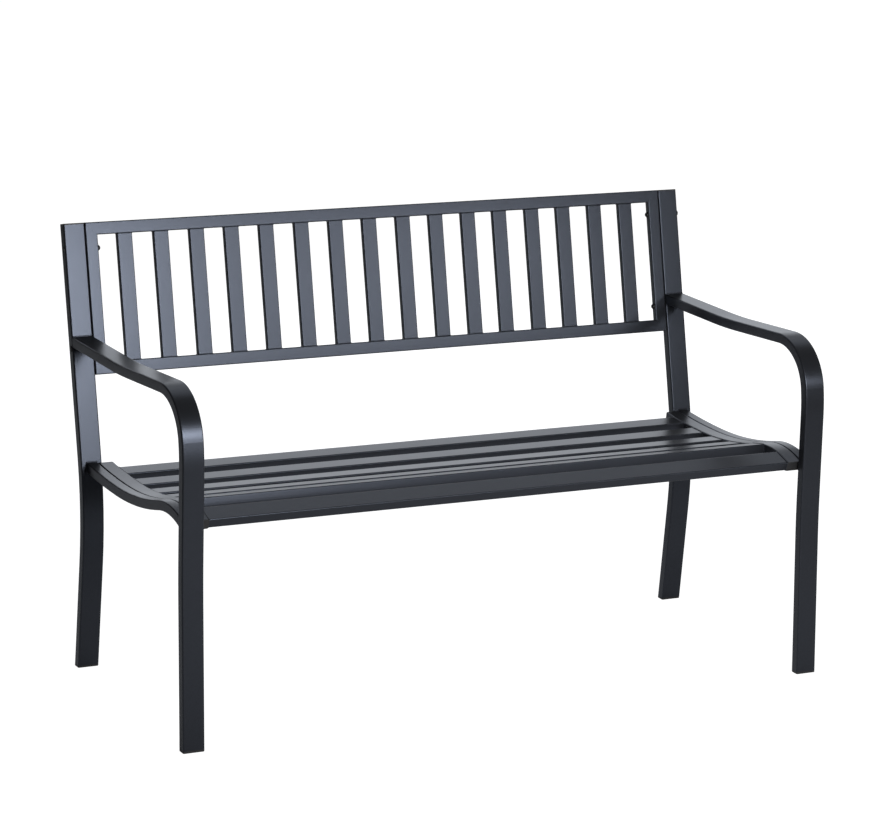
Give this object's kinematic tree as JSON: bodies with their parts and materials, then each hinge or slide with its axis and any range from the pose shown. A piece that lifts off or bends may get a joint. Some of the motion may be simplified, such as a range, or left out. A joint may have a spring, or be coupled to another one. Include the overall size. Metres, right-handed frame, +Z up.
{
  "type": "garden bench",
  "caption": "Painted metal garden bench with bent tube side frames and armrests, a contoured slatted seat and an upright slatted back.",
  "frame": {"origin": "on the floor, at the middle of the bounding box's bottom", "axes": "+X along the bench's width, towards the right seen from the front; the front faces -Y; +Z up"},
  "size_m": [1.2768, 0.6138, 0.8052],
  "materials": {
    "frame_paint": "satin dark grey powder coat",
    "seat_paint": "satin dark grey powder coat",
    "back_paint": "satin dark grey powder coat",
    "plug_plastic": "black moulded plastic",
    "fastener_steel": "dark coated steel"
  },
  "bodies": {
    "root": {"arm_and_front_leg_left": "frame_paint", "arm_and_front_leg_right": "frame_paint", "back_bolts": "fastener_steel", "back_bottom_rail": "back_paint", "back_cap_nuts": "fastener_steel", "back_side_bar_left": "back_paint", "back_side_bar_right": "back_paint", "back_slat_01": "back_paint", "back_slat_02": "back_paint", "back_slat_03": "back_paint", "back_slat_04": "back_paint", "back_slat_05": "back_paint", "back_slat_06": "back_paint", "back_slat_07": "back_paint", "back_slat_08": "back_paint", "back_slat_09": "back_paint", "back_slat_10": "back_paint", "back_slat_11": "back_paint", "back_slat_12": "back_paint", "back_slat_13": "back_paint", "back_slat_14": "back_paint", "back_slat_15": "back_paint", "back_slat_16": "back_paint", "back_top_rail": "back_paint", "front_foot_left": "plug_plastic", "front_foot_right": "plug_plastic", "post_plug_left": "plug_plastic", "post_plug_right": "plug_plastic", "rear_foot_left": "plug_plastic", "rear_foot_right": "plug_plastic", "rear_post_left": "frame_paint", "rear_post_right": "frame_paint", "seat_bolts": "fastener_steel", "seat_end_rail_left": "seat_paint", "seat_end_rail_right": "seat_paint", "seat_plug_front_left": "plug_plastic", "seat_plug_front_right": "plug_plastic", "seat_plug_rear_left": "plug_plastic", "seat_plug_rear_right": "plug_plastic", "seat_side_rail_left": "frame_paint", "seat_side_rail_right": "frame_paint", "seat_slat_1": "seat_paint", "seat_slat_2": "seat_paint", "seat_slat_3": "seat_paint", "seat_slat_4": "seat_paint", "seat_slat_5": "seat_paint", "seat_slat_6": "seat_paint", "seat_weld_nuts": "fastener_steel"}
  },
  "joints": []
}
